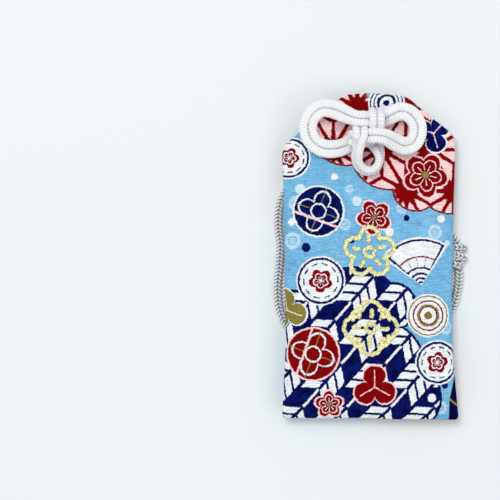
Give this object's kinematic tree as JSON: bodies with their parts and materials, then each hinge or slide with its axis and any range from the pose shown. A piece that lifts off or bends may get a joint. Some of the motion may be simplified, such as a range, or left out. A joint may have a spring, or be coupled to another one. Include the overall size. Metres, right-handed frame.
{
  "type": "omamori charm",
  "caption": "Printed cotton amulet pouch lying on its back, closed by a doubled kano knot of white cord, with a two-strand hanging loop tucked behind it.",
  "frame": {"origin": "centre of the box round the pouch and its knot, without the free hanging cord", "axes": "+Z out of the front face, +Y towards the neck, +X to the right as the front is seen"},
  "size_m": [0.0503, 0.0848, 0.0151],
  "materials": {
    "printed_cotton": "plain-weave printed cotton",
    "white_cord": "braided cord, soft sheen",
    "paper": "uncoated",
    "card": "uncoated"
  },
  "bodies": {
    "pouch": {"front_panel": "printed_cotton", "back_panel": "printed_cotton", "stiffener_card": "card", "slip_wrapper": "paper", "prayer_slip": "paper", "neck_leg_left": "white_cord", "neck_leg_right": "white_cord"},
    "knot": {"kano_knot": "white_cord"},
    "hanging_loop": {"hanging_strand_outer": "white_cord", "hanging_strand_inner": "white_cord", "end_knot": "white_cord"}
  },
  "joints": [
    {"name": "knot_lift", "type": "hinge", "parent": "pouch", "child": "knot", "pos_m": [0.00212, 0.03878, 0.00005], "axis": [-1, 0, 0], "range_deg": [0, 105]},
    {"name": "loop_swing", "type": "hinge", "parent": "pouch", "child": "hanging_loop", "pos_m": [0.00212, 0.0387, -0.00781], "axis": [1, 0, 0], "range_deg": [0, 180]}
  ]
}
